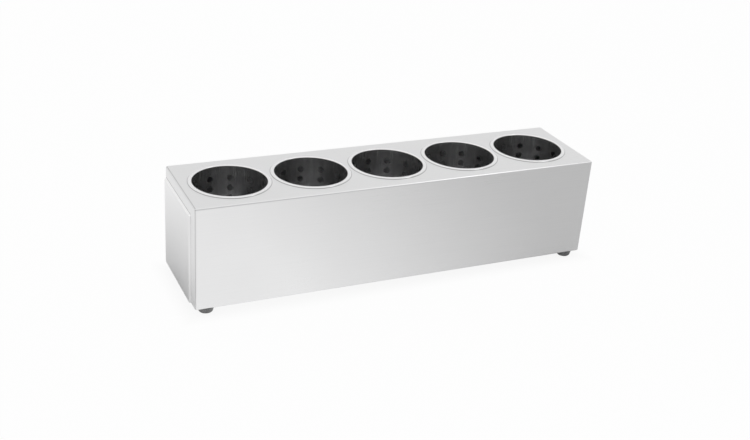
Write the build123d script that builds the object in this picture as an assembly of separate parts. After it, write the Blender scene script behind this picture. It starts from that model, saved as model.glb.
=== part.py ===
from build123d import *
from math import sqrt
import os

# Cutlery cylinders: five drop-in cups that set the size of everything else
cylinder_count = 5
cylinder_bore = 96.0
cylinder_wall = 0.7
cylinder_base_radius = 6.0
cylinder_base_clearance = 4.0
rim_width = 5.0
rim_height = 1.2
rim_gap = 4.0

# Drain holes in the base of a cylinder: a ring of them about one in the middle
drain_hole = 8.0
drain_hole_count = 6
drain_ring_radius = 28.0

# Housing: a folded cover for top and front, whose flanges lap the set-back edges of a folded shell
housing_height = 140.0
end_margin = 12.0
side_margin = 16.0
sheet = 0.8
bend_radius = 2.4
top_lap = 14.5
front_lap = 18.0
shell_proud = 2.2
lap_gap = 0.1
edge_gap = 0.4
cylinder_hole_clearance = 0.8

# Turned-in bottom edges
end_flange = 12.0
foot_flange_margin = 2.0
flange_end_gap = 1.0

# Feet: turned rubber feet, each with a recessed screw, a washer and a nut
foot_height = 9.0
foot_diameter = 22.0
foot_tread_diameter = 18.0
foot_edge_radius = 3.0
foot_end_inset = 17.0
foot_side_inset = 12.0
foot_recess_diameter = 10.0
foot_recess_depth = 4.5
washer_diameter = 9.4
washer_thickness = 1.0
screw_diameter = 4.0
screw_clearance = 0.25
screw_head_diameter = 7.6
screw_head_height = 2.2
screw_head_chamfer = 0.8
screw_point = 1.5
nut_across_flats = 7.0
nut_height = 3.2

# One overrun serves every cut
overrun = 1.0

# Sizes that follow from the ones above
rim_diameter = cylinder_bore + 2 * rim_width
cylinder_pitch = rim_diameter + rim_gap
housing_length = (cylinder_count - 1) * cylinder_pitch + rim_diameter + 2 * end_margin
housing_depth = rim_diameter + 2 * side_margin
cylinder_depth = housing_height - cylinder_base_clearance
cylinder_outer_radius = cylinder_bore / 2 + cylinder_wall
foot_flange = foot_side_inset + foot_diameter / 2 + foot_flange_margin

# Planes of the housing's outer skin, from the surface that the feet stand on
left_right = housing_length / 2
front_back = housing_depth / 2
bottom = foot_height
top = foot_height + housing_height
lap_x = left_right - sheet - lap_gap
lap_y = front_back - sheet - lap_gap
shell_x = left_right + shell_proud
shell_y = front_back + shell_proud
joggle = shell_proud + sheet + lap_gap


def sheet_face(points, radii, side, thickness):
    """The section of a bent sheet: its outer skin through the points, thickened to one side."""
    skin = FilletPolyline(*points, radius=radii)
    return make_face(offset(skin, amount=thickness, side=side).edges())


def between(low, high):
    """A block from one corner to the opposite one."""
    size = [b - a for a, b in zip(low, high)]
    return Pos(*low) * Box(*size, align=(Align.MIN, Align.MIN, Align.MIN))


def foot_places(side):
    """The two foot centres on the front (-1) or back (+1) bottom edge."""
    x = left_right - foot_end_inset
    y = shell_y - foot_side_inset if side > 0 else foot_side_inset - front_back
    return [Pos(-x, y, 0), Pos(x, y, 0)]


def cylinder_places():
    """The centres of the cylinders, from left to right."""
    first = -cylinder_pitch * (cylinder_count - 1) / 2
    return [Pos(first + i * cylinder_pitch, 0, 0) for i in range(cylinder_count)]


def screw_holes(side):
    """Clearance holes for the foot screws, through the bottom edge on one side."""
    hole = Cylinder(screw_diameter / 2 + screw_clearance, sheet + 2 * overrun)
    return [Pos(0, 0, bottom + sheet / 2) * place * hole for place in foot_places(side)]


def cover_block(inset):
    """The cover's outside, closed all round and rounded at its bends, drawn in by an inset."""
    x = left_right - inset
    y = front_back - inset
    block = between((-x, -y, bottom + inset), (x, y, top - inset))
    return fillet(block.edges(), bend_radius - inset)


def top_front_cover():
    """Top and front panel, with flanges that lap both ends and the back, and a turned-in foot edge."""
    outside = left_right + overrun
    behind = front_back + overrun
    below = bottom - overrun
    flat = bottom + bend_radius
    lap_edge = front_lap - front_back
    foot_edge = foot_flange - front_back
    inside = left_right - bend_radius
    open_sides = between((-outside, lap_edge, flat), (outside, behind, top - top_lap))
    open_bottom = between((-outside, foot_edge, below), (outside, behind, flat))
    left_corner = between((-outside, lap_edge, below), (-inside, behind, flat))
    right_corner = between((inside, lap_edge, below), (outside, behind, flat))
    hole_radius = cylinder_outer_radius + cylinder_hole_clearance
    hole = Cylinder(hole_radius, sheet + 2 * overrun)
    holes = [Pos(0, 0, top - sheet / 2) * place * hole for place in cylinder_places()]
    cover = cover_block(0) - cover_block(sheet)
    cover -= [open_sides, open_bottom, left_corner, right_corner]
    return cover - holes - screw_holes(-1)


def shell_block(inset, reach):
    """The shell's outside drawn in by an inset, its open edges run out by a reach.

    The edges that lie under the cover are set back from the rest by a slanting joggle.
    """
    x = lap_x - inset
    front_edge = bend_radius + edge_gap - front_back
    upper_edge = top - bend_radius - edge_gap
    low = (-x, front_edge - reach, bottom + bend_radius - reach)
    lap = between(low, (x, lap_y - inset, upper_edge + reach))
    lap = fillet(lap.edges().filter_by(Axis.Z).group_by(Axis.Y)[-1], bend_radius - inset)
    slant = inset * (sqrt(2) - 1)
    start = front_lap + edge_gap + slant - front_back
    ceiling = top - top_lap - edge_gap - slant
    x = shell_x - inset
    field = between((-x, start, bottom + inset), (x, shell_y - inset, ceiling))
    field = fillet(field.edges().filter_by(Axis.Z).group_by(Axis.Y)[-1], joggle + bend_radius - inset)
    field = chamfer(field.faces().sort_by(Axis.Z)[-1].edges().sort_by(Axis.Y)[1:], joggle)
    field = chamfer(field.faces().sort_by(Axis.Y)[0].edges().filter_by(Axis.Z), joggle)
    field = fillet(field.faces().sort_by(Axis.Z)[0].edges().sort_by(Axis.Y)[1:], bend_radius - inset)
    return lap + field


def rear_shell():
    """Left end, back and right end folded from one sheet, with turned-in bottom edges."""
    below = bottom - overrun
    flat = bottom + bend_radius
    inside = shell_x - end_flange
    beside = left_right - bend_radius + flange_end_gap
    before = -front_back
    back_edge = shell_y - foot_flange
    foot_edge = foot_flange - front_back + flange_end_gap
    open_bottom = between((-inside, before, below), (inside, back_edge, flat))
    beside_cover = between((-beside, before, below), (beside, foot_edge, flat))
    shell = shell_block(0, 0) - shell_block(sheet, overrun)
    shell -= [open_bottom, beside_cover]
    return shell - screw_holes(1)


def cutlery_cylinder():
    """A deep-drawn cup with drain holes in its base, whose flat lip turns down to lie on the top panel."""
    bore = cylinder_bore / 2
    floor_level = -cylinder_depth + cylinder_wall
    lip = rim_diameter / 2
    skin = [(0, floor_level), (bore, floor_level), (bore, rim_height), (lip, rim_height), (lip, 0)]
    section = sheet_face(skin, [cylinder_base_radius, 0, 0], Side.RIGHT, cylinder_wall)
    cup = revolve(Plane.XZ * section, Axis.Z)
    punch = Pos(0, 0, floor_level) * Cylinder(drain_hole / 2, 2 * (cylinder_wall + overrun))
    ring = [place * punch for place in PolarLocations(drain_ring_radius, drain_hole_count)]
    return Pos(0, 0, top) * (cup - [punch, *ring])


def foot():
    """A turned rubber foot, tapering to its tread, with a recess for the screw head below."""
    tread = foot_tread_diameter / 2
    screw_hole = screw_diameter / 2 + screw_clearance
    recess = foot_recess_diameter / 2
    section = Polyline(
        (screw_hole, foot_recess_depth),
        (recess, foot_recess_depth),
        (recess, 0),
        (tread, 0),
        (foot_diameter / 2, foot_height),
        (screw_hole, foot_height),
        close=True,
    )
    solid = revolve(Plane.XZ * make_face(section), Axis.Z)
    tread_edge = solid.edges().filter_by(GeomType.CIRCLE).group_by(Axis.Z)[0].sort_by(SortBy.RADIUS)[-1]
    return fillet(tread_edge, foot_edge_radius)


def foot_washer():
    """The steel washer under a screw head, at the top of the foot's recess."""
    level = foot_recess_depth - washer_thickness / 2
    ring = Cylinder(washer_diameter / 2, washer_thickness)
    hole = Cylinder(screw_diameter / 2 + screw_clearance, washer_thickness + 2 * overrun)
    return Pos(0, 0, level) * (ring - hole)


def foot_screw():
    """A pan-head screw, from the washer up through the foot, the sheet and the nut."""
    seat = foot_recess_depth - washer_thickness
    tip = bottom + sheet + nut_height + screw_point
    head = Cylinder(
        screw_head_diameter / 2,
        screw_head_height,
        align=(Align.CENTER, Align.CENTER, Align.MAX),
    )
    head = chamfer(head.edges().filter_by(GeomType.CIRCLE).sort_by(Axis.Z)[0], screw_head_chamfer)
    shank = Cylinder(screw_diameter / 2, tip - seat, align=(Align.CENTER, Align.CENTER, Align.MIN))
    return Pos(0, 0, seat) * (head + shank)


def foot_nut():
    """The hexagon nut on the inside of the bottom edge."""
    blank = extrude(RegularPolygon(nut_across_flats / 2, 6, major_radius=False), nut_height)
    hole = Cylinder(screw_diameter / 2 + screw_clearance, 2 * (nut_height + overrun))
    return Pos(0, 0, bottom + sheet) * (blank - hole)


def write(node, shape):
    """Write one node's solids to its own file, with the middle of the footprint at the origin."""
    export_step(Pos(0, -shell_proud / 2, 0) * shape, f"parts/{node}.step")


os.makedirs("parts", exist_ok=True)
write("top_front_cover", top_front_cover())
write("rear_shell", rear_shell())

cup = cutlery_cylinder()
for number, place in enumerate(cylinder_places(), start=1):
    write(f"cutlery_cylinder_{number}", place * cup)

front_left, front_right = foot_places(-1)
rear_left, rear_right = foot_places(1)
corners = {
    "front_left": front_left,
    "front_right": front_right,
    "rear_left": rear_left,
    "rear_right": rear_right,
}
rubber_foot = foot()
for corner, place in corners.items():
    write(f"foot_{corner}", place * rubber_foot)

fasteners = {
    "foot_screws": foot_screw(),
    "foot_washers": foot_washer(),
    "foot_nuts": foot_nut(),
}
for node, fastener in fasteners.items():
    write(node, Compound([place * fastener for place in corners.values()]))
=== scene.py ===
import bpy
import math
from mathutils import Matrix, Vector


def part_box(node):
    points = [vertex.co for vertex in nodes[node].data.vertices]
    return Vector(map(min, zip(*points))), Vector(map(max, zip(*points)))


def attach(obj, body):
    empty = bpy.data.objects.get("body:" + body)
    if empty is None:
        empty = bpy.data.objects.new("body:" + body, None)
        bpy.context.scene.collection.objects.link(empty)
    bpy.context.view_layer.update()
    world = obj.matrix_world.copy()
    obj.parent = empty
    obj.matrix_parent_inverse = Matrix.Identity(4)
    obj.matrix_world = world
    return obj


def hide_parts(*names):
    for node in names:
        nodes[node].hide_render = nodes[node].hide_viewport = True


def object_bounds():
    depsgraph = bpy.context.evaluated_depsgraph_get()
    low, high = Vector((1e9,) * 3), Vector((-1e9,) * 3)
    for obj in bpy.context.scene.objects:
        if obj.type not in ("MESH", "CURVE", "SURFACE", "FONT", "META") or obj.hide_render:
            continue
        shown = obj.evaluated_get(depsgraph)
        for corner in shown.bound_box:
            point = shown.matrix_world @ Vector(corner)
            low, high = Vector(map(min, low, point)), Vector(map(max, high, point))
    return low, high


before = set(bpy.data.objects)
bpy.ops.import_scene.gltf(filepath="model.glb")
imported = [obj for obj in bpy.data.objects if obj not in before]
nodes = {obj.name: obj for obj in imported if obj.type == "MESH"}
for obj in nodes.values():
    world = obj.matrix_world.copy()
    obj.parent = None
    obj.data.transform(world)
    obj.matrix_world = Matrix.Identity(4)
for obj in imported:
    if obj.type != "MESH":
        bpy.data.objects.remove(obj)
cad_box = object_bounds()


# Rear shell
# One sheet of brushed stainless steel, folded into the left end, the back and the right end, with its
# bottom edges turned in. Its top and front edges are set back to lie under the cover, welded from inside.

def add(tree, kind, inputs=None, **settings):
    """A new node with its settings, its inputs fed by sockets or set to plain values."""
    node = tree.nodes.new(kind)
    for name, value in settings.items():
        setattr(node, name, value)
    for key, value in (inputs or {}).items():
        if isinstance(value, bpy.types.NodeSocket):
            tree.links.new(value, node.inputs[key])
        else:
            node.inputs[key].default_value = value
    return node


def calc(tree, operation, *values):
    """The result of one step of arithmetic, as a socket."""
    return add(tree, "ShaderNodeMath", dict(enumerate(values)), operation=operation).outputs[0]


def span(tree, value, from_low, from_high, low, high):
    """A value moved from one range to another and kept inside it, as a socket."""
    inputs = {"Value": value, "From Min": from_low, "From Max": from_high, "To Min": low, "To Max": high}
    return add(tree, "ShaderNodeMapRange", inputs).outputs["Result"]


def split(tree, value):
    """The X, Y and Z of a vector, as sockets."""
    return add(tree, "ShaderNodeSeparateXYZ", {0: value}).outputs


def vector(tree, x=0.0, y=0.0, z=0.0):
    """A vector from its X, Y and Z, as a socket."""
    return add(tree, "ShaderNodeCombineXYZ", {"X": x, "Y": y, "Z": z}).outputs[0]


def noise(tree, place, scale, detail, roughness=0.5):
    """Cloudy noise about a half, as a socket; nearly all of it lies in noise_range."""
    inputs = {"Vector": place, "Scale": scale, "Detail": detail, "Roughness": roughness}
    return add(tree, "ShaderNodeTexNoise", inputs).outputs["Fac"]


def new_group(name, kind, inputs, outputs):
    """An empty node group with named sockets, and its input and output nodes."""
    group = bpy.data.node_groups.new(name, kind)
    for direction, sockets in (("INPUT", inputs), ("OUTPUT", outputs)):
        for label, socket in sockets.items():
            group.interface.new_socket(label, in_out=direction, socket_type="NodeSocket" + socket)
    return group, add(group, "NodeGroupInput").outputs, add(group, "NodeGroupOutput").inputs


def brushed_grain_group():
    """Fine streaks along the length of a sheet, along X on the long sides and along Y on the ends.

    Bends is the share of painted shade on the folds: 1 in the middle of an upright fold and on the upper half
    of the folds beside and behind the top, and 0 on the flat. Ends is 1 where the sheet faces along X.
    """
    inputs = {"Place": "Vector", "Facing": "Vector", "Streak Length": "Float", "Streak Width": "Float"}
    outputs = {"Streaks": "Float", "Smudges": "Float", "Fold Shade": "Float", "Ends": "Float"}
    group, given, result = new_group("brushed_grain", "ShaderNodeTree", inputs, outputs)
    facing = add(group, "ShaderNodeVectorMath", {0: given["Facing"]}, operation="ABSOLUTE").outputs[0]
    facing = split(group, facing)
    least_end_facing = 0.7
    on_end = calc(group, "GREATER_THAN", facing["X"], least_end_facing)
    group.links.new(on_end, result["Ends"])

    # Noise drawn out along the grain, and smudges that run no special way
    along = calc(group, "DIVIDE", 1.0, given["Streak Length"])
    across = calc(group, "DIVIDE", 1.0, given["Streak Width"])
    along_x = vector(group, along, across, across)
    along_y = vector(group, across, along, across)
    stretch = add(group, "ShaderNodeMix", {0: on_end, 4: along_x, 5: along_y}, data_type="VECTOR").outputs[1]
    inputs = {0: given["Place"], 1: stretch}
    drawn = add(group, "ShaderNodeVectorMath", inputs, operation="MULTIPLY").outputs[0]
    streaks = noise(group, drawn, scale=1.0, detail=4.0, roughness=0.65)
    smudges = noise(group, given["Place"], scale=9.0, detail=3.0)
    group.links.new(span(group, streaks, *noise_range, 0.0, 1.0), result["Streaks"])
    group.links.new(span(group, smudges, *noise_range, 0.0, 1.0), result["Smudges"])

    # Folds, told by how far the sheet is turned from its flat sides, for their painted shade
    fold_middle, fold_end = 0.78, 0.98
    upright_below = 0.5
    top_fold_start = (0.65, 0.75)
    top_fold_end = (0.95, 0.985)
    front_facing = -0.3
    squarely = calc(group, "MAXIMUM", calc(group, "MAXIMUM", facing["X"], facing["Y"]), facing["Z"])
    upright = calc(group, "LESS_THAN", facing["Z"], upright_below)
    bent = calc(group, "MULTIPLY", span(group, squarely, fold_middle, fold_end, 1.0, 0.0), upright)
    rising = span(group, facing["Z"], *top_fold_start, 0.0, 1.0)
    levelling = span(group, facing["Z"], *top_fold_end, 1.0, 0.0)
    not_in_front = calc(group, "GREATER_THAN", split(group, given["Facing"])["Y"], front_facing)
    over_top = calc(group, "MULTIPLY", calc(group, "MINIMUM", rising, levelling), not_in_front)
    group.links.new(calc(group, "MAXIMUM", bent, over_top), result["Fold Shade"])
    return group


def blend_colours(tree, factor, first, second):
    """One colour turning into another, as a socket."""
    first = first if isinstance(first, bpy.types.NodeSocket) else (*first, 1.0)
    second = second if isinstance(second, bpy.types.NodeSocket) else (*second, 1.0)
    return add(tree, "ShaderNodeMix", {0: factor, 6: first, 7: second}, data_type="RGBA").outputs[2]


def new_finish(name, metallic):
    """An empty material, its tree and its shader."""
    finish = bpy.data.materials.new(name)
    finish.use_nodes = True
    shader = finish.node_tree.nodes["Principled BSDF"]
    shader.inputs["Metallic"].default_value = metallic
    return finish, finish.node_tree, shader


def brushed_steel(name, fold_shade_tone, end_tone, end_roughness, lines):
    """Stainless sheet brushed along its length: fine pale streaks, a soft directional gloss and painted shade
    on its folds.

    Lines of shade or shine lie where the sheet meets the next piece: each has a function that gives its share
    from a place, and a tone.
    """
    dark_streak = (0.83, 0.83, 0.832)
    pale_streak = (0.86, 0.86, 0.862)
    streak_roughness = (0.28, 0.34)
    smudge_roughness = (-0.02, 0.03)
    streak_length = 0.1
    streak_width = 0.0005
    streak_depth = 0.00002
    finish, tree, shader = new_finish(name, 1.0)
    shader.inputs["Anisotropic"].default_value = 0.55
    place = add(tree, "ShaderNodeTexCoord").outputs["Object"]
    facing = add(tree, "ShaderNodeNewGeometry").outputs["Normal"]
    inputs = {"Place": place, "Facing": facing, "Streak Length": streak_length, "Streak Width": streak_width}
    grain = add(tree, "ShaderNodeGroup", inputs, node_tree=brushed_grain).outputs
    tone = blend_colours(tree, grain["Streaks"], dark_streak, pale_streak)
    tone = blend_colours(tree, grain["Ends"], tone, end_tone)
    # Painted shade on the folds
    tone = blend_colours(tree, grain["Fold Shade"], tone, fold_shade_tone)
    for line_share, line_tone in lines:
        tone = blend_colours(tree, line_share(tree, place), tone, line_tone)
    tree.links.new(tone, shader.inputs["Base Color"])
    streaked = span(tree, grain["Streaks"], 0.0, 1.0, *streak_roughness)
    smudged = span(tree, grain["Smudges"], 0.0, 1.0, *smudge_roughness)
    ground = calc(tree, "MULTIPLY", grain["Ends"], end_roughness)
    roughness = calc(tree, "ADD", calc(tree, "ADD", streaked, smudged), ground)
    tree.links.new(roughness, shader.inputs["Roughness"])
    inputs = {"Strength": 0.1, "Distance": streak_depth, "Height": grain["Streaks"]}
    tree.links.new(add(tree, "ShaderNodeBump", inputs).outputs[0], shader.inputs["Normal"])
    across_grain = vector(tree, 0.0, 0.15, 1.0)
    tree.links.new(across_grain, shader.inputs["Tangent"])
    return finish


def dress(node, finish):
    """Give a node of the frame one finish all over."""
    mesh = nodes[node].data
    mesh.materials.clear()
    mesh.materials.append(finish)


def groove_shade(tree, place):
    """The line of shade in the groove where the sheet steps back to go under the cover."""
    line_start = -0.0004
    line_fade = (0.0005, 0.0011)
    bottom_fold = 0.02
    spot = split(tree, place)
    beyond_end = calc(tree, "SUBTRACT", calc(tree, "ABSOLUTE", spot["X"]), shell_reach[0] - set_back)
    beyond_back = calc(tree, "SUBTRACT", spot["Y"], shell_reach[1] - set_back)
    beyond = calc(tree, "MAXIMUM", beyond_end, beyond_back)
    line = span(tree, beyond, *line_fade, 1.0, 0.0)
    line = calc(tree, "MULTIPLY", line, calc(tree, "GREATER_THAN", beyond, line_start))
    return calc(tree, "MULTIPLY", line, calc(tree, "GREATER_THAN", spot["Z"], bottom_fold))


def slope_shine(tree, place):
    """The bright edge of the end and back walls, where the sheet slants back to go under the cover."""
    blur = 0.0002
    slope_foot = shell_reach[2] - slope_below_edge
    return span(tree, split(tree, place)["Z"], slope_foot - blur, slope_foot + blur, 0.0, 1.0)


noise_range = (0.3, 0.7)
brushed_grain = brushed_grain_group()
set_back = 0.0031
slope_below_edge = 0.0152
shell_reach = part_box("rear_shell")[1]
shell_steel = brushed_steel(
    "shell_steel",
    fold_shade_tone=(0.8, 0.8, 0.802),
    end_tone=(0.85, 0.85, 0.852),
    end_roughness=0.0,
    lines=((slope_shine, (1.0, 1.0, 1.0)), (groove_shade, (0.42, 0.42, 0.422))),
)
dress("rear_shell", shell_steel)

# Top and front cover
# The same brushed sheet, folded into the top and the front, its corners welded and ground smooth. Five
# round holes take the cylinders, and narrow flanges, ground dull, lap the ends and the back.

cup_low, cup_high = (Vector(corner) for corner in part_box("cutlery_cylinder_1"))
cup_middle = (cup_low + cup_high) / 2
cup_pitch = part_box("cutlery_cylinder_2")[0][0] - cup_low.x
cups_beside_middle = 2
lip_radius = (cup_high.x - cup_low.x) / 2
cover_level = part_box("top_front_cover")[1][2]


def lip_shade(tree, place):
    """The thin ring of shade on the top panel, close round the lip of each cylinder."""
    outer_fade = (lip_radius + 0.0004, lip_radius + 0.001)
    inner_fade = (lip_radius - 0.0006, lip_radius - 0.0002)
    panel_depth = 0.0005
    spot = split(tree, place)
    number = calc(tree, "ROUND", calc(tree, "DIVIDE", spot["X"], cup_pitch))
    number = calc(tree, "MINIMUM", calc(tree, "MAXIMUM", number, -cups_beside_middle), cups_beside_middle)
    aside = calc(tree, "SUBTRACT", spot["X"], calc(tree, "MULTIPLY", number, cup_pitch))
    behind = calc(tree, "SUBTRACT", spot["Y"], cup_middle.y)
    from_centre = vector(tree, aside, behind)
    reach = add(tree, "ShaderNodeVectorMath", {0: from_centre}, operation="LENGTH").outputs["Value"]
    outside = span(tree, reach, *outer_fade, 1.0, 0.0)
    inside = span(tree, reach, *inner_fade, 0.0, 1.0)
    ring = calc(tree, "MULTIPLY", outside, inside)
    on_top = calc(tree, "GREATER_THAN", spot["Z"], cover_level - panel_depth)
    return calc(tree, "MULTIPLY", ring, on_top)


housing_steel = brushed_steel(
    "housing_steel",
    fold_shade_tone=(0.6, 0.6, 0.602),
    # The flanges facing along X are lighter than the top and front: painted light. Their dull grinding is the
    # roughness
    end_tone=(0.9, 0.9, 0.902),
    end_roughness=0.2,
    lines=((lip_shade, (0.5, 0.5, 0.502)),),
)
dress("top_front_cover", housing_steel)

# Cutlery cylinders
# Five deep-drawn stainless cups with rows of punched drain holes round the wall and more in the base.
# Each drops through its hole in the cover and hangs by its turned-down lip, which is polished, with a painted
# sheen making it lighter than the wall, whose darker tone is painted shade for the inside of the cup.

cup_bore = 0.096
cup_wall = 0.0007
lip_bend = 0.0009
lip_sheen_depth = 1.5 * lip_bend
base_bend = 0.006
base_flat = 0.002
punched_hole = 0.008
hole_columns = 11
hole_rows = 8
row_pitch = 0.014
first_row = 0.0175
base_ring = 0.028
base_holes = 6
segments_per_hole = 8
cup_turns = [23.0, 3.0, 15.0, 7.0, 20.0]
cup_crease = 40.0


def cup_tree():
    """Geometry nodes that punch a flat sheet, roll it up along a section and close it with a punched base."""
    sizes = (
        "Bore", "Hole", "Row Pitch", "First Row", "Section Length",
        "Base Radius", "Base Level", "Base Ring", "Lip Level", "Turn",
    )
    counts = ("Columns", "Rows", "Base Holes", "Segments Per Hole")
    inputs = {"Section": "Geometry"}
    inputs.update({label: "Float" for label in sizes})
    inputs.update({label: "Int" for label in counts})
    inputs.update({"Place": "Vector", "Wall Finish": "Material", "Lip Finish": "Material"})
    tree, given, result = new_group("punched_cup", "GeometryNodeTree", inputs, {"Cup": "Geometry"})
    tile_rings = 4
    lip_steps = 48
    base_steps = 20
    bend_steps = 8
    base_hole_sides = 20
    sheet_weld = 0.00001
    base_weld = 0.00002
    pitch = given["Row Pitch"]
    girth = calc(tree, "MULTIPLY", given["Bore"], math.pi)
    tile = calc(tree, "DIVIDE", girth, given["Columns"])
    half_girth = calc(tree, "DIVIDE", girth, 2.0)
    half_tile = calc(tree, "DIVIDE", tile, 2.0)
    half_pitch = calc(tree, "DIVIDE", pitch, 2.0)
    hole_radius = calc(tree, "DIVIDE", given["Hole"], 2.0)
    position = add(tree, "GeometryNodeInputPosition").outputs[0]
    here = split(tree, position)

    def round_axis(radius, angle, level=0.0):
        x = calc(tree, "MULTIPLY", radius, calc(tree, "COSINE", angle))
        y = calc(tree, "MULTIPLY", radius, calc(tree, "SINE", angle))
        return vector(tree, x, y, level)

    def grid(width, height, columns, rows):
        inputs = {"Size X": width, "Size Y": height, "Vertices X": columns, "Vertices Y": rows}
        return add(tree, "GeometryNodeMeshGrid", inputs).outputs["Mesh"]

    def circle(points, radius):
        inputs = {"Resolution": points, "Radius": radius}
        return add(tree, "GeometryNodeCurvePrimitiveCircle", inputs).outputs[0]

    def moved(geometry, place, turn=(0.0, 0.0, 0.0)):
        inputs = {"Geometry": geometry, "Translation": place, "Rotation": turn}
        return add(tree, "GeometryNodeTransform", inputs).outputs[0]

    def shaped(geometry, place):
        return add(tree, "GeometryNodeSetPosition", {"Geometry": geometry, "Position": place}).outputs[0]

    def joined(*pieces):
        join = add(tree, "GeometryNodeJoinGeometry")
        for piece in pieces:
            tree.links.new(piece, join.inputs[0])
        return join.outputs[0]

    def merged(geometry, distance):
        inputs = {"Geometry": geometry, "Distance": distance}
        return add(tree, "GeometryNodeMergeByDistance", inputs).outputs[0]

    def copied(points, piece):
        placed = add(tree, "GeometryNodeInstanceOnPoints", {"Points": points, "Instance": piece}).outputs[0]
        return add(tree, "GeometryNodeRealizeInstances", {"Geometry": placed}).outputs[0]

    def with_flat_place(geometry):
        inputs = {"Geometry": geometry, "Name": "sheet", "Value": position}
        settings = {"data_type": "FLOAT_VECTOR", "domain": "CORNER"}
        return add(tree, "GeometryNodeStoreNamedAttribute", inputs, **settings).outputs[0]

    # One oblong of sheet with a round hole in it: a strip bent round, from the hole out to the oblong's edge.
    # Along that edge each side is a wave with flat tops, 1 on one side, -1 opposite and even in between.
    def side_of_tile(share):
        ramp = calc(tree, "SUBTRACT", 2.0, calc(tree, "MULTIPLY", calc(tree, "PINGPONG", share, 0.5), 8.0))
        return calc(tree, "MAXIMUM", calc(tree, "MINIMUM", ramp, 1.0), -1.0)

    around = calc(tree, "ADD", here["X"], 0.5)
    outward = calc(tree, "ADD", here["Y"], 0.5)
    quarter_back = calc(tree, "SUBTRACT", around, 0.25)
    hole_edge = round_axis(hole_radius, calc(tree, "MULTIPLY", around, 2 * math.pi))
    oblong = vector(
        tree,
        calc(tree, "MULTIPLY", side_of_tile(around), half_tile),
        calc(tree, "MULTIPLY", side_of_tile(quarter_back), half_pitch),
    )
    ring_points = calc(tree, "ADD", calc(tree, "MULTIPLY", given["Segments Per Hole"], 4.0), 1.0)
    strip = grid(1.0, 1.0, ring_points, tile_rings)
    inputs = {0: outward, 4: hole_edge, 5: oblong}
    drawn_out = add(tree, "ShaderNodeMix", inputs, data_type="VECTOR").outputs[1]
    punched = add(tree, "GeometryNodeFlipFaces", {"Mesh": shaped(strip, drawn_out)}).outputs[0]

    # Rows and columns of it, with a plain band for the lip above and one for the base bend below
    rows_height = calc(tree, "MULTIPLY", calc(tree, "SUBTRACT", given["Rows"], 1.0), pitch)
    rows_middle = calc(tree, "ADD", given["First Row"], calc(tree, "DIVIDE", rows_height, 2.0))
    places = grid(calc(tree, "SUBTRACT", girth, tile), rows_height, given["Columns"], given["Rows"])
    holes = copied(moved(places, vector(tree, half_girth, rows_middle)), punched)
    holes_start = calc(tree, "SUBTRACT", given["First Row"], half_pitch)
    holes_end = calc(tree, "ADD", calc(tree, "ADD", given["First Row"], rows_height), half_pitch)
    rim_points = calc(tree, "MULTIPLY", given["Columns"], given["Segments Per Hole"])

    def plain_band(start, end, steps):
        height = calc(tree, "SUBTRACT", end, start)
        middle = calc(tree, "ADD", start, calc(tree, "DIVIDE", height, 2.0))
        band = grid(girth, height, calc(tree, "ADD", rim_points, 1.0), steps)
        return moved(band, vector(tree, half_girth, middle))

    lip_band = plain_band(0.0, holes_start, lip_steps)
    base_band = plain_band(holes_end, given["Section Length"], base_steps)
    flat = merged(joined(lip_band, holes, base_band), sheet_weld)

    # The sheet keeps its flat place for the finish, then is rolled up along the rounded section
    flat = with_flat_place(flat)
    section = add(tree, "GeometryNodeMeshToCurve", {"Mesh": given["Section"]}).outputs[0]
    bend = add(tree, "GeometryNodeInputNamedAttribute", {"Name": "bend"}, data_type="FLOAT").outputs[0]
    inputs = {"Curve": section, "Radius": bend, "Count": bend_steps}
    section = add(tree, "GeometryNodeFilletCurve", inputs, mode="POLY").outputs[0]
    inputs = {"Curves": section, "Length": here["Y"]}
    sample = add(tree, "GeometryNodeSampleCurve", inputs, mode="LENGTH").outputs["Position"]
    on_section = split(tree, sample)
    rolled = calc(tree, "DIVIDE", calc(tree, "MULTIPLY", here["X"], 2.0), given["Bore"])
    rolled = calc(tree, "ADD", rolled, given["Turn"])
    wall = shaped(flat, round_axis(on_section["X"], rolled, on_section["Z"]))

    # The base: a disc with a hole in the middle and a ring of holes about it
    rim = circle(rim_points, given["Base Radius"])
    small = circle(base_hole_sides, hole_radius)
    ring = copied(circle(given["Base Holes"], given["Base Ring"]), small)
    edges = joined(rim, ring, small)
    disc = add(tree, "GeometryNodeFillCurve", {"Curve": edges}, mode="TRIANGLES").outputs[0]
    disc = moved(with_flat_place(disc), vector(tree, z=given["Base Level"]), vector(tree, z=given["Turn"]))

    cup = moved(merged(joined(wall, disc), base_weld), given["Place"])
    cup = add(tree, "GeometryNodeRealizeInstances", {"Geometry": cup}).outputs[0]
    cup = add(tree, "GeometryNodeSetMaterial", {"Geometry": cup, "Material": given["Wall Finish"]}).outputs[0]
    on_lip = calc(tree, "GREATER_THAN", here["Z"], given["Lip Level"])
    inputs = {"Geometry": cup, "Selection": on_lip, "Material": given["Lip Finish"]}
    cup = add(tree, "GeometryNodeSetMaterial", inputs).outputs[0]
    tree.links.new(cup, result["Cup"])
    return tree


def set_input(modifier, name, value):
    """Set a geometry nodes input by the identifier of the socket with this name."""
    for item in modifier.node_group.interface.items_tree:
        if item.in_out == "INPUT" and item.name == name:
            modifier[item.identifier] = value


def linked(name, data):
    """A new object in the scene that shows a mesh, a lamp or a camera."""
    piece = bpy.data.objects.new(name, data)
    bpy.context.scene.collection.objects.link(piece)
    return piece


def plain_mesh(maker, name):
    """The maker's finished shape as a plain mesh in a new object; the maker itself is removed."""
    depsgraph = bpy.context.evaluated_depsgraph_get()
    mesh = bpy.data.meshes.new_from_object(maker.evaluated_get(depsgraph))
    mesh.name = name
    bpy.data.objects.remove(maker)
    return linked(name, mesh)


def open_line(name, points):
    """A mesh that is a single line through points."""
    mesh = bpy.data.meshes.new(name)
    mesh.from_pydata(points, [(i, i + 1) for i in range(len(points) - 1)], [])
    return mesh


def smooth(piece, degrees):
    """Shade a piece smooth, with edges sharper than an angle kept crisp."""
    piece.data.shade_smooth()
    piece.data.set_sharp_from_angle(angle=math.radians(degrees))


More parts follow.
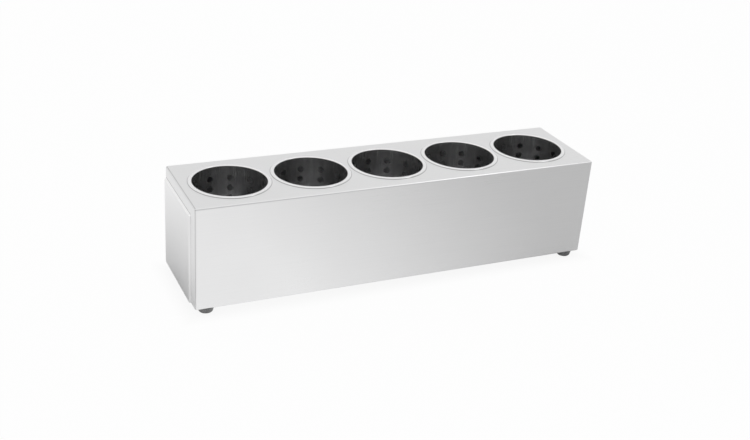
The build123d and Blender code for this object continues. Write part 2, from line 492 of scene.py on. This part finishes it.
def drawn_steel(name, dark, light, least_rough, most_rough, mark_width, seat=None):
    """Deep-drawn stainless: smooth, with faint draw marks down the wall of the sheet it was made from.

    Just above the level of a seat it is darker: painted shade where it sits on the seat.
    """
    mark_length = 60 * mark_width
    mark_depth = 0.00002
    most_worn = 0.05
    seat_painted_shade = (0.7, 0.7, 0.702)
    seat_fade = (0.0003, 0.0008)
    finish, tree, shader = new_finish(name, 1.0)
    flat_place = add(tree, "ShaderNodeAttribute", attribute_name="sheet").outputs["Vector"]
    inputs = {"Vector": flat_place, "Scale": (1 / mark_width, 1 / mark_length, 1.0)}
    drawn = add(tree, "ShaderNodeMapping", inputs).outputs[0]
    marks = noise(tree, drawn, scale=1.0, detail=4.0, roughness=0.6)
    marks = span(tree, marks, *noise_range, 0.0, 1.0)
    place = add(tree, "ShaderNodeTexCoord").outputs["Object"]
    wear = noise(tree, place, scale=60.0, detail=4.0)
    tone = blend_colours(tree, marks, dark, light)
    if seat is not None:
        # Painted shade just above the seat
        above_seat = calc(tree, "SUBTRACT", split(tree, place)["Z"], seat)
        tone = blend_colours(tree, span(tree, above_seat, *seat_fade, 1.0, 0.0), tone, seat_painted_shade)
    tree.links.new(tone, shader.inputs["Base Color"])
    roughness = span(tree, marks, 0.0, 1.0, least_rough, most_rough)
    worn = span(tree, wear, *noise_range, 0.0, most_worn)
    tree.links.new(calc(tree, "ADD", roughness, worn), shader.inputs["Roughness"])
    inputs = {"Strength": 0.1, "Distance": mark_depth, "Height": marks}
    tree.links.new(add(tree, "ShaderNodeBump", inputs).outputs[0], shader.inputs["Normal"])
    return finish


# The wall is darker than the lip as painted shade inside the cup; the lip is lighter as a painted sheen over
# its polish
wall_steel = drawn_steel(
    "cylinder_steel",
    dark=(0.74, 0.74, 0.745),
    light=(0.8, 0.8, 0.805),
    least_rough=0.16,
    most_rough=0.26,
    mark_width=0.0006,
)
lip_steel_with_sheen = drawn_steel(
    "polished_lip_steel_with_painted_sheen",
    dark=(0.88, 0.88, 0.882),
    light=(0.93, 0.93, 0.932),
    least_rough=0.12,
    most_rough=0.18,
    mark_width=0.0008,
    seat=cover_level,
)
punched_cup = cup_tree()

lip_level = cup_high.z
base_level = cup_low.z + cup_wall
bore_radius = cup_bore / 2
base_radius = bore_radius - base_bend - base_flat
section_points = [
    (lip_radius, 0.0, cover_level),
    (lip_radius, 0.0, lip_level),
    (bore_radius, 0.0, lip_level),
    (bore_radius, 0.0, base_level),
    (base_radius, 0.0, base_level),
]
section_bends = [0.0, lip_bend, lip_bend, base_bend, 0.0]
corner_saving = 2 - math.pi / 2
straight_runs = [
    (Vector(end) - Vector(start)).length for start, end in zip(section_points, section_points[1:])
]
section_length = sum(straight_runs) - corner_saving * sum(section_bends)
lip_to_wall = straight_runs[0] + straight_runs[1] - corner_saving * 2 * lip_bend

for number, turn in enumerate(cup_turns, start=1):
    node = f"cutlery_cylinder_{number}"
    section_mesh = open_line(node + "_section", section_points)
    bends = section_mesh.attributes.new("bend", "FLOAT", "POINT")
    bends.data.foreach_set("value", section_bends)
    maker = linked(node + "_section", section_mesh)
    roll = maker.modifiers.new("punched_cup", "NODES")
    roll.node_group = punched_cup
    low, high = (Vector(corner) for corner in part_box(node))
    cup_sizes = {
        "Bore": cup_bore,
        "Hole": punched_hole,
        "Row Pitch": row_pitch,
        "First Row": lip_to_wall + first_row,
        "Section Length": section_length,
        "Base Radius": base_radius,
        "Base Level": base_level,
        "Base Ring": base_ring,
        "Lip Level": lip_level - lip_sheen_depth,
        "Turn": math.radians(turn),
        "Columns": hole_columns,
        "Rows": hole_rows,
        "Base Holes": base_holes,
        "Segments Per Hole": segments_per_hole,
        "Place": ((low.x + high.x) / 2, (low.y + high.y) / 2, 0.0),
        "Wall Finish": wall_steel,
        "Lip Finish": lip_steel_with_sheen,
    }
    for label, value in cup_sizes.items():
        set_input(roll, label, value)
    thickness = maker.modifiers.new("sheet_thickness", "SOLIDIFY")
    thickness.thickness = cup_wall
    thickness.offset = -1.0
    cup = plain_mesh(maker, f"punched_cup_{number}")
    smooth(cup, cup_crease)
    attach(cup, node)
    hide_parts(node)

# Feet
# Four turned rubber feet, dark grey, tapering to a flat tread, with a recess below for a screw head.
# Each stands under a turned-in bottom edge of the box and is held to it by a screw and a nut.

def moulded_rubber():
    """Dark grey rubber with a fine grain, a little dusty and paler where it is rubbed."""
    dark_rubber = (0.14, 0.14, 0.143)
    dusty_rubber = (0.21, 0.21, 0.213)
    dust_range = (0.4, 0.7)
    grain_roughness = (0.24, 0.38)
    grain_depth = 0.00005
    finish, tree, shader = new_finish("foot_rubber", 0.0)
    place = add(tree, "ShaderNodeTexCoord").outputs["Object"]
    grain = noise(tree, place, scale=1400.0, detail=3.0)
    dust = span(tree, noise(tree, place, scale=160.0, detail=3.0), *dust_range, 0.0, 1.0)
    tree.links.new(blend_colours(tree, dust, dark_rubber, dusty_rubber), shader.inputs["Base Color"])
    tree.links.new(span(tree, grain, *noise_range, *grain_roughness), shader.inputs["Roughness"])
    shader.inputs["Coat Weight"].default_value = 0.3
    shader.inputs["Coat Roughness"].default_value = 0.12
    inputs = {"Strength": 0.3, "Distance": grain_depth, "Height": grain}
    tree.links.new(add(tree, "ShaderNodeBump", inputs).outputs[0], shader.inputs["Normal"])
    return finish


foot_rubber = moulded_rubber()
feet = ("foot_front_left", "foot_front_right", "foot_rear_left", "foot_rear_right")
for foot in feet:
    dress(foot, foot_rubber)

# Foot washers, screws and nuts
# Plain stainless hardware under each corner: a washer and a pan-head screw in the recess of the foot, and a
# hexagon nut on the inside of the turned-in bottom edge. Each is shaped once and set at all four corners.

washer_diameter = 0.0094
screw_diameter = 0.004
screw_clearance = 0.00025
head_diameter = 0.0076
head_chamfer = 0.0008
head_height = 0.0022
cross_length = 0.0042
cross_width = 0.0011
cross_depth = 0.0013
thread_pitch = 0.0007
thread_depth = 0.0003
nut_across_flats = 0.007
nut_sides = 6
edge_break = 0.0002
round_sides = 40
screw_turn = 0.7
fastener_crease = 30.0


def turned_steel():
    """Plain stainless of turned and pressed hardware: bright, with a fine speckle of tool marks."""
    dark_speck = (0.55, 0.55, 0.555)
    pale_speck = (0.68, 0.68, 0.683)
    speck_range = (0.35, 0.65)
    speck_roughness = (0.22, 0.36)
    finish, tree, shader = new_finish("fastener_steel", 1.0)
    place = add(tree, "ShaderNodeTexCoord").outputs["Object"]
    speckle = noise(tree, place, scale=2500.0, detail=3.0)
    share = span(tree, speckle, *speck_range, 0.0, 1.0)
    tree.links.new(blend_colours(tree, share, dark_speck, pale_speck), shader.inputs["Base Color"])
    tree.links.new(span(tree, speckle, *noise_range, *speck_roughness), shader.inputs["Roughness"])
    return finish


def drum(tree, radius, low, high, sides):
    """A solid cylinder on the Z axis between two levels."""
    depth = calc(tree, "SUBTRACT", high, low)
    inputs = {"Vertices": sides, "Radius": radius, "Depth": depth}
    solid = add(tree, "GeometryNodeMeshCylinder", inputs, fill_type="NGON").outputs["Mesh"]
    middle = vector(tree, z=calc(tree, "ADD", low, calc(tree, "DIVIDE", depth, 2.0)))
    return add(tree, "GeometryNodeTransform", {"Geometry": solid, "Translation": middle}).outputs[0]


def less(tree, solid, cutter):
    """A solid with another taken from it."""
    inputs = {"Mesh 1": solid, "Mesh 2": cutter}
    return add(tree, "GeometryNodeMeshBoolean", inputs, operation="DIFFERENCE").outputs["Mesh"]


def ring_solid(tree, given):
    """A washer or a nut: a drum with its number of sides, bored through."""
    outside = drum(tree, given["Radius"], given["Low"], given["High"], given["Sides"])
    return less(tree, outside, drum(tree, given["Hole"], -1.0, 1.0, round_sides))


def screw_outline(low, high):
    """Half of a screw's outline, from its head up to its tip, with a ring for each turn of thread."""
    radius = screw_diameter / 2
    root = radius - thread_depth
    head = head_diameter / 2
    seat = low + head_height
    outline = [(0.0, low), (head - head_chamfer, low), (head, low + head_chamfer), (head, seat), (root, seat)]
    for number in range(int((high - seat) / thread_pitch)):
        level = seat + number * thread_pitch
        outline += [(radius, level + thread_pitch / 2), (root, level + thread_pitch)]
    return outline + [(root, high), (0.0, high)]


def turned_blank(name, outline):
    """A solid turned from half of its outline, which starts and ends on the axis."""
    blank = linked(name, open_line(name, [(radius, 0.0, level) for radius, level in outline]))
    lathe = blank.modifiers.new("lathe", "SCREW")
    lathe.steps = round_sides
    lathe.render_steps = round_sides
    lathe.use_merge_vertices = True
    lathe.merge_threshold = 0.000001
    lathe.use_normal_flip = True
    return plain_mesh(blank, name)


def screw_solid(tree, given):
    """A screw: its turned blank with a cross cut in the head, one slot a little shallower than the other."""
    screw = add(tree, "GeometryNodeObjectInfo", {"Object": given["Blank"]}).outputs["Geometry"]
    for along, across, depths_high in (("x", "y", 2.0), ("y", "x", 1.8)):
        height = calc(tree, "MULTIPLY", given["Cross Depth"], depths_high)
        sides = vector(tree, **{along: given["Cross Length"], across: given["Cross Width"], "z": height})
        slot = add(tree, "GeometryNodeMeshCube", {"Size": sides}).outputs["Mesh"]
        inputs = {"Geometry": slot, "Translation": vector(tree, z=given["Low"])}
        screw = less(tree, screw, add(tree, "GeometryNodeTransform", inputs).outputs[0])
    return screw


def fastener_set(node, make_solid, sizes, turn=0.0):
    """One kind of fastener, shaped from its sizes and set at the middle of every foot."""
    kinds = {"Blank": "Object", "Sides": "Int"}
    inputs = {"Places": "Geometry", "Low": "Float", "High": "Float", "Turn": "Float", "Finish": "Material"}
    inputs.update({label: kinds.get(label, "Float") for label in sizes})
    tree, given, result = new_group(node, "GeometryNodeTree", inputs, {"Set": "Geometry"})
    number = add(tree, "GeometryNodeInputIndex").outputs[0]
    turned = vector(tree, z=calc(tree, "MULTIPLY", number, given["Turn"]))
    inputs = {"Points": given["Places"], "Instance": make_solid(tree, given), "Rotation": turned}
    placed = add(tree, "GeometryNodeInstanceOnPoints", inputs).outputs[0]
    placed = add(tree, "GeometryNodeRealizeInstances", {"Geometry": placed}).outputs[0]
    inputs = {"Geometry": placed, "Material": given["Finish"]}
    tree.links.new(add(tree, "GeometryNodeSetMaterial", inputs).outputs[0], result["Set"])
    mesh = bpy.data.meshes.new(node + "_places")
    mesh.from_pydata(foot_middles, [], [])
    maker = linked(node + "_places", mesh)
    shape = maker.modifiers.new(node, "NODES")
    shape.node_group = tree
    low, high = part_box(node)
    settings = {**sizes, "Low": low[2], "High": high[2], "Turn": turn, "Finish": fastener_steel}
    for label, value in settings.items():
        set_input(shape, label, value)
    return maker


def break_edges(maker):
    """Round off the sharp edges of a set a little."""
    rounding = maker.modifiers.new("broken_edges", "BEVEL")
    rounding.width = edge_break
    rounding.segments = 2


def finish_set(maker, node, name):
    """The fasteners as a plain mesh that stands for its node."""
    piece = plain_mesh(maker, name)
    smooth(piece, fastener_crease)
    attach(piece, "housing")
    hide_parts(node)


fastener_steel = turned_steel()
foot_middles = []
for foot in feet:
    low, high = (Vector(point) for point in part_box(foot))
    foot_middles.append(((low.x + high.x) / 2, (low.y + high.y) / 2, 0.0))
hole_radius = screw_diameter / 2 + screw_clearance

washer_sizes = {"Radius": washer_diameter / 2, "Hole": hole_radius, "Sides": round_sides}
washers = fastener_set("foot_washers", ring_solid, washer_sizes)
break_edges(washers)
finish_set(washers, "foot_washers", "turned_washers")

screw_low, screw_high = (corner[2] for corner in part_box("foot_screws"))
screw_blank = turned_blank("screw_blank", screw_outline(screw_low, screw_high))
screw_sizes = {
    "Blank": screw_blank,
    "Cross Length": cross_length,
    "Cross Width": cross_width,
    "Cross Depth": cross_depth,
}
screws = fastener_set("foot_screws", screw_solid, screw_sizes, screw_turn)
finish_set(screws, "foot_screws", "cross_head_screws")
bpy.data.objects.remove(screw_blank)

nut_sizes = {"Radius": nut_across_flats / math.sqrt(3), "Hole": hole_radius, "Sides": nut_sides}
nuts = fastener_set("foot_nuts", ring_solid, nut_sizes)
break_edges(nuts)
finish_set(nuts, "foot_nuts", "hexagon_nuts")

# Floor, light and camera
# A white studio: a floor, a sky that is darker on the camera's side, and a soft box high on the right. To
# the camera the floor is white, and to the steel it fades close by the holder and towards the right.

floor_half = 4.0
floor_corners = [(x * floor_half, y * floor_half, 0.0) for x, y in ((-1, -1), (1, -1), (1, 1), (-1, 1))]
floor_mesh = bpy.data.meshes.new("studio_floor")
floor_mesh.from_pydata(floor_corners, [], [(0, 1, 2, 3)])
floor = linked("studio_floor", floor_mesh)
floor_white, floor_tree, floor_shader = new_finish("floor_white", 0.0)
floor_shader.inputs["Roughness"].default_value = 0.9
on_floor = split(floor_tree, add(floor_tree, "ShaderNodeTexCoord").outputs["Object"])

# The floor's colour darkens towards the right: painted shade, mirrored by the steel
floor_tone = (0.79, 0.79, 0.79)
right_floor_painted_shade = (0.72, 0.72, 0.72)
right_blend = (0.25, 0.45)
to_the_right = span(floor_tree, on_floor["X"], *right_blend, 0.0, 1.0)
floor_tone_with_painted_shade = blend_colours(floor_tree, to_the_right, floor_tone, right_floor_painted_shade)
floor_tree.links.new(floor_tone_with_painted_shade, floor_shader.inputs["Base Color"])

# How far a spot lies outside each side of the holder, less than nothing where it is under it
beside = calc(floor_tree, "SUBTRACT", calc(floor_tree, "ABSOLUTE", on_floor["X"]), cad_box[1][0])
before = calc(floor_tree, "SUBTRACT", cad_box[0][1], on_floor["Y"])
behind = calc(floor_tree, "SUBTRACT", on_floor["Y"], cad_box[1][1])
around = calc(floor_tree, "MAXIMUM", beside, calc(floor_tree, "MAXIMUM", before, behind))

# White to the camera: a little shade close round the holder, and only the real light well under it
close_round = (0.0, 0.02)
close_white, open_white = 0.9, 0.97
well_under = (-0.035, -0.022)
camera_share = span(floor_tree, around, *close_round, close_white, open_white)
not_under = span(floor_tree, around, *well_under, 0.0, 1.0)
camera_share = calc(floor_tree, "MULTIPLY", camera_share, not_under)

# White to the steel: out of the holder's shade, a little more in front of the ends than behind them
side_shade = (0.01, 0.122)
back_shade = (0.0, 0.25)
front_shade = (-0.03, 0.0)
front_ends = (0.01, 0.06)
from_side = span(floor_tree, beside, *side_shade, 0.0, 1.0)
from_back = span(floor_tree, behind, *back_shade, 0.0, 1.0)
from_front = span(floor_tree, before, *front_shade, 0.0, 1.0)
from_front = calc(floor_tree, "MULTIPLY", from_front, span(floor_tree, beside, *front_ends, 1.0, 0.0))
steel_share = calc(floor_tree, "MAXIMUM", calc(floor_tree, "MAXIMUM", from_side, from_back), from_front)
back_for_each_aside = 2.05
end_depth = (-0.07, 0.07)
front_gain, back_loss = 0.25, -0.15
past_end = (0.0, 0.02)
along_end = calc(floor_tree, "MULTIPLY", beside, back_for_each_aside)
along_end = calc(floor_tree, "SUBTRACT", on_floor["Y"], along_end)
tilt = span(floor_tree, along_end, *end_depth, front_gain, back_loss)
tilt = calc(floor_tree, "MULTIPLY", tilt, span(floor_tree, beside, *past_end, 0.0, 1.0))
steel_share = calc(floor_tree, "MULTIPLY_ADD", steel_share, tilt, steel_share)
right_fade = (-0.14, 0.3)
fading_right = span(floor_tree, on_floor["X"], *right_fade, 1.0, 0.0)
steel_share = calc(floor_tree, "MULTIPLY", steel_share, fading_right)

seen = add(floor_tree, "ShaderNodeLightPath").outputs
by_camera = calc(floor_tree, "MULTIPLY", seen["Is Camera Ray"], camera_share)
by_steel = calc(floor_tree, "MAXIMUM", seen["Is Glossy Ray"], seen["Is Transmission Ray"])
by_steel = calc(floor_tree, "MULTIPLY", by_steel, steel_share)
white_share = calc(floor_tree, "MAXIMUM", by_camera, by_steel)
white = add(floor_tree, "ShaderNodeEmission", {"Color": (1.0, 1.0, 1.0, 1.0), "Strength": 1.0}).outputs[0]
floor_mix = add(floor_tree, "ShaderNodeMixShader", {0: white_share, 1: floor_shader.outputs[0], 2: white})
floor_tree.links.new(floor_mix.outputs[0], floor_tree.nodes["Material Output"].inputs["Surface"])
floor_mesh.materials.append(floor_white)

# The sky: white to the camera, and to the steel straight overhead
front_sky, back_sky = 0.62, 0.84
sky_turn = (-0.5, 0.5)
ceiling_edge = (0.72, 0.82)
world = bpy.data.worlds.new("studio")
bpy.context.scene.world = world
world.use_nodes = True
sky_tree = world.node_tree
sky = sky_tree.nodes["Background"]
sky.inputs["Color"].default_value = (1.0, 1.0, 1.0, 1.0)
towards = split(sky_tree, add(sky_tree, "ShaderNodeTexCoord").outputs["Generated"])
light = span(sky_tree, towards["Y"], *sky_turn, front_sky, back_sky)
overhead = span(sky_tree, towards["Z"], *ceiling_edge, 0.0, 1.0)
seen = add(sky_tree, "ShaderNodeLightPath").outputs
by_steel = calc(sky_tree, "MULTIPLY", overhead, seen["Is Glossy Ray"])
white_share = calc(sky_tree, "MAXIMUM", seen["Is Camera Ray"], by_steel)
sky_tree.links.new(calc(sky_tree, "MAXIMUM", light, white_share), sky.inputs["Strength"])

# The soft box, turned to face the holder
box_place = Vector((0.85, -0.7, 1.3))
box_target = Vector((0.1, 0.0, 0.1))
box_side = 0.5
box_watts = 1.2
lamp = bpy.data.lights.new("high_right_box", "AREA")
lamp.shape = "RECTANGLE"
lamp.size = box_side
lamp.size_y = box_side
lamp.energy = box_watts
soft_box = linked("high_right_box", lamp)
soft_box.location = box_place
soft_box.rotation_euler = (box_target - box_place).to_track_quat("-Z", "Y").to_euler()
soft_box.visible_camera = False

# The camera, fitted to the edges of the box and the mouths of the cylinders in the photo
view_azimuth = math.radians(-25.97)
view_elevation = math.radians(25.56)
view_roll = math.radians(4.25)
view_distance = 1.507
view_target = Vector((-0.012, -0.0011, 0.0661))
focal_pixels = 1097.0
photo_width = 750
sensor = 36.0
camera_data = bpy.data.cameras.new("photo_camera")
camera_data.sensor_width = sensor
camera_data.lens = sensor * focal_pixels / photo_width
camera_data.clip_end = 20.0
camera = linked("photo_camera", camera_data)
level = math.cos(view_elevation)
back = Vector((
    math.sin(view_azimuth) * level,
    -math.cos(view_azimuth) * level,
    math.sin(view_elevation),
))
turn = back.to_track_quat("Z", "Y").to_matrix().to_4x4() @ Matrix.Rotation(view_roll, 4, "Z")
camera.matrix_world = Matrix.Translation(view_target + back * view_distance) @ turn
bpy.context.scene.camera = camera
bpy.context.scene.view_settings.view_transform = "Standard"
